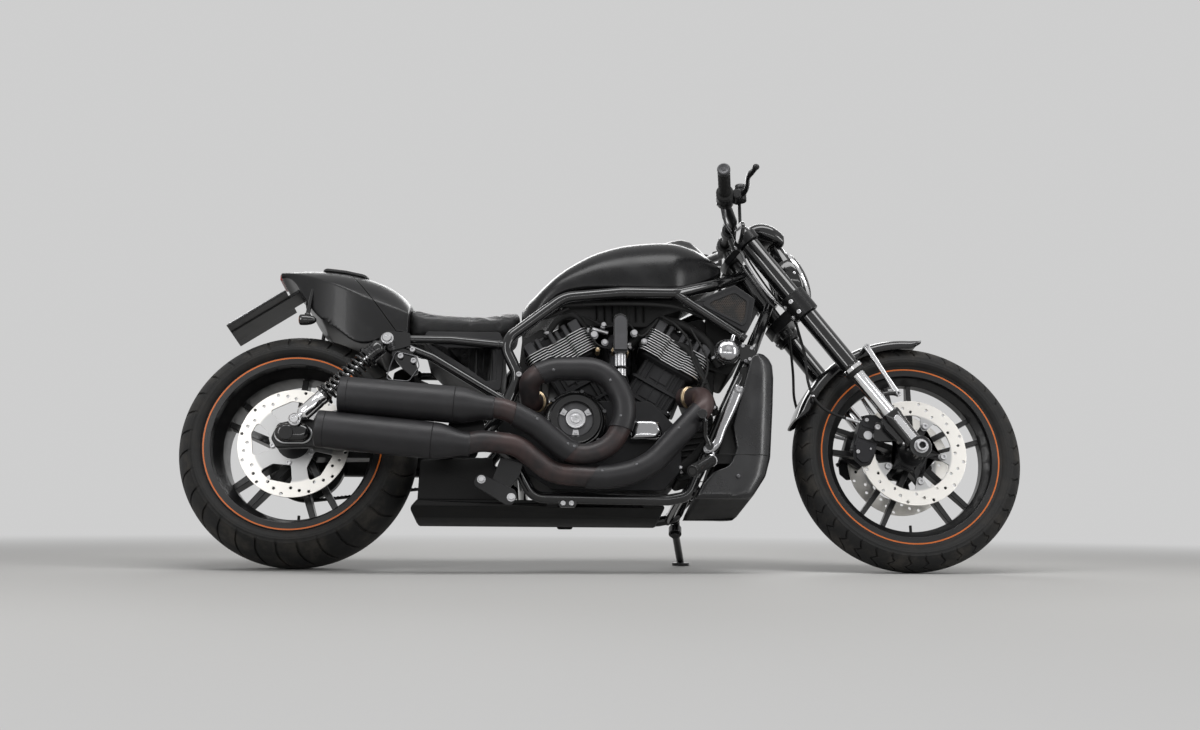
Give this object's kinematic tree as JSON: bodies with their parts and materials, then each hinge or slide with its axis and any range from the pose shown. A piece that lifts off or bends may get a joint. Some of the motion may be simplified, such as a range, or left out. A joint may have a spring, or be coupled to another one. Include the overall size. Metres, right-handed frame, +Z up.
{
  "type": "cruiser motorcycle",
  "caption": "Long, low cruiser motorcycle with a V-twin engine, swept twin-pipe exhaust, wide rear tyre and drag handlebar, leaning on its side stand.",
  "frame": {"origin": "middle of the footprint of the bounding box, on the floor", "axes": "+X towards the front wheel, along the longest extent; +Y to the rider's left, the side it leans to; +Z up"},
  "size_m": [2.3549, 0.9136, 1.0974],
  "materials": {
    "tyre_rubber": "matte",
    "wheel_black": "satin",
    "disc_steel": "brushed",
    "fork_black": "gloss",
    "fork_chrome": "polished",
    "axle_steel": "satin",
    "caliper_grey": "satin",
    "fender_black": "gloss",
    "rubber_black": "matte",
    "gloss_black": "gloss",
    "satin_black": "satin",
    "mirror_black": "gloss",
    "lens_glass": "clear",
    "shock_chrome": "polished",
    "spring_black": "gloss",
    "belt_rubber": "matte",
    "engine_black": "wrinkle",
    "fin_alloy": "machined edges",
    "cover_black": "gloss",
    "polished_alloy": "polished",
    "exhaust_ceramic": "matte ceramic",
    "header_tint": "heat tinted",
    "seat_vinyl": "grained",
    "plate_blank": "satin",
    "lamp_red": "clear",
    "panel_grey": "matte",
    "radiator_alloy": "matte",
    "horn_alloy": "satin"
  },
  "bodies": {
    "chassis": {"frame": "gloss_black", "swingarm": "satin_black", "shock_absorbers": "shock_chrome", "shock_springs": "spring_black", "shock_bolts": "axle_steel", "rear_axle": "axle_steel", "rear_caliper": "caliper_grey", "drive_belt": "belt_rubber", "drive_sprocket": "wheel_black", "crankcase": "engine_black", "cylinders": "fin_alloy", "engine_covers": "cover_black", "starter_cover": "polished_alloy", "coolant_post": "cover_black", "coolant_neck": "polished_alloy", "throttle_body": "engine_black", "mufflers": "exhaust_ceramic", "header_pipes": "header_tint", "exhaust_bracket": "satin_black", "tank_cover": "satin_black", "seat": "seat_vinyl", "tail_cowl": "satin_black", "plate_holder": "satin_black", "number_plate": "plate_blank", "rear_indicators": "satin_black", "tail_lamp": "lamp_red", "side_panels": "panel_grey", "side_scoops": "satin_black", "belly_pan": "panel_grey", "radiator": "radiator_alloy", "radiator_shroud": "panel_grey", "horn": "horn_alloy", "control_arms": "polished_alloy", "foot_controls": "satin_black", "stand_bracket": "gloss_black"},
    "steering": {"lower_yoke": "fork_black", "upper_yoke": "fork_black", "fork_outer_tubes": "fork_black", "fork_lowers": "fork_chrome", "front_axle": "axle_steel", "front_calipers": "caliper_grey", "front_fender": "fender_black", "brake_hoses": "rubber_black", "handlebar": "gloss_black", "grips": "rubber_black", "hand_controls": "satin_black", "mirrors": "mirror_black", "headlamp": "gloss_black", "headlamp_lens": "lens_glass", "instrument_pod": "gloss_black"},
    "front_wheel": {"front_tyre": "tyre_rubber", "front_wheel_casting": "wheel_black", "front_discs": "disc_steel"},
    "rear_wheel": {"rear_tyre": "tyre_rubber", "rear_wheel_casting": "wheel_black", "rear_disc": "disc_steel", "rear_pulley": "wheel_black"},
    "stand": {"side_stand": "gloss_black"}
  },
  "joints": [
    {"name": "steering_turn", "type": "hinge", "parent": "chassis", "child": "steering", "pos_m": [0.42871, 0.00929, 0.81186], "axis": [-0.5592, 0.1724, 0.8109], "range_deg": [-28, 28]},
    {"name": "front_wheel_spin", "type": "hinge", "parent": "steering", "child": "front_wheel", "pos_m": [0.84655, -0.09538, 0.31938], "axis": [0, 0.9781, -0.2079], "continuous": true},
    {"name": "rear_wheel_spin", "type": "hinge", "parent": "chassis", "child": "rear_wheel", "pos_m": [-0.85845, -0.09493, 0.3215], "axis": [0, 0.9781, -0.2079], "continuous": true},
    {"name": "side_stand_fold", "type": "hinge", "parent": "chassis", "child": "stand", "pos_m": [0.20555, 0.05963, 0.10597], "axis": [0.07, 0.6538, 0.7534], "range_deg": [0, 85]}
  ]
}
